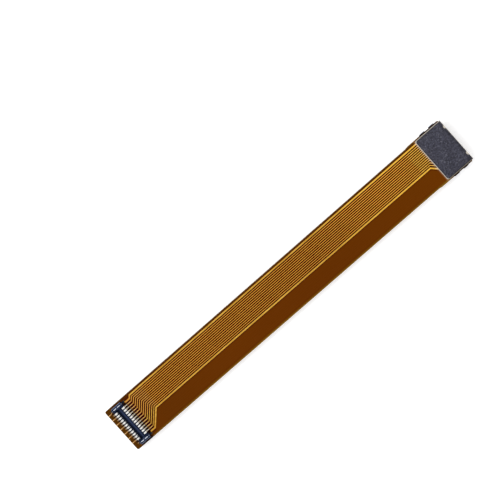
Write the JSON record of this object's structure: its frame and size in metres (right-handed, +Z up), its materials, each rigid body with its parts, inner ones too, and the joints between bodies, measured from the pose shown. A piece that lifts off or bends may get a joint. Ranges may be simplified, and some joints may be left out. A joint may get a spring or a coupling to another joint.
{
  "type": "flat flex cable",
  "caption": "Flat flexible circuit with a low board-to-board header on one end and a matching receptacle on the other, each backed by a stiffener.",
  "frame": {"origin": "under the middle of the cable, in the plane of the receptacle's mating face", "axes": "+X along the cable from the header end to the receptacle end, +Y across it, +Z up, out of the header's mating face"},
  "size_m": [0.06, 0.007, 0.0016],
  "materials": {
    "film": "satin amber polyimide",
    "copper": "copper under a clear amber cover layer",
    "stiffener": "glass-epoxy sheet",
    "facing": "fine grain",
    "housing": "satin moulded, glass-filled",
    "contact_metal": "plated copper alloy"
  },
  "bodies": {
    "root": {"flex_film": "film", "header_side_copper": "copper", "receptacle_side_copper": "copper", "through_vias": "copper", "receptacle_end_stiffener": "stiffener", "receptacle_end_facing": "facing", "header_end_stiffener": "stiffener", "header_end_facing": "facing", "header_housing": "housing", "header_hold_downs": "contact_metal", "receptacle_housing": "housing", "receptacle_hold_downs": "contact_metal", "header_contact_01": "contact_metal", "header_contact_02": "contact_metal", "header_contact_03": "contact_metal", "header_contact_04": "contact_metal", "header_contact_05": "contact_metal", "header_contact_06": "contact_metal", "header_contact_07": "contact_metal", "header_contact_08": "contact_metal", "header_contact_09": "contact_metal", "header_contact_10": "contact_metal", "header_contact_11": "contact_metal", "header_contact_12": "contact_metal", "header_contact_13": "contact_metal", "header_contact_14": "contact_metal", "header_contact_15": "contact_metal", "header_contact_16": "contact_metal", "header_contact_17": "contact_metal", "header_contact_18": "contact_metal", "header_contact_19": "contact_metal", "header_contact_20": "contact_metal", "header_contact_21": "contact_metal", "header_contact_22": "contact_metal", "header_contact_23": "contact_metal", "header_contact_24": "contact_metal", "receptacle_contact_01": "contact_metal", "receptacle_contact_02": "contact_metal", "receptacle_contact_03": "contact_metal", "receptacle_contact_04": "contact_metal", "receptacle_contact_05": "contact_metal", "receptacle_contact_06": "contact_metal", "receptacle_contact_07": "contact_metal", "receptacle_contact_08": "contact_metal", "receptacle_contact_09": "contact_metal", "receptacle_contact_10": "contact_metal", "receptacle_contact_11": "contact_metal", "receptacle_contact_12": "contact_metal", "receptacle_contact_13": "contact_metal", "receptacle_contact_14": "contact_metal", "receptacle_contact_15": "contact_metal", "receptacle_contact_16": "contact_metal", "receptacle_contact_17": "contact_metal", "receptacle_contact_18": "contact_metal", "receptacle_contact_19": "contact_metal", "receptacle_contact_20": "contact_metal", "receptacle_contact_21": "contact_metal", "receptacle_contact_22": "contact_metal", "receptacle_contact_23": "contact_metal", "receptacle_contact_24": "contact_metal"}
  },
  "joints": []
}
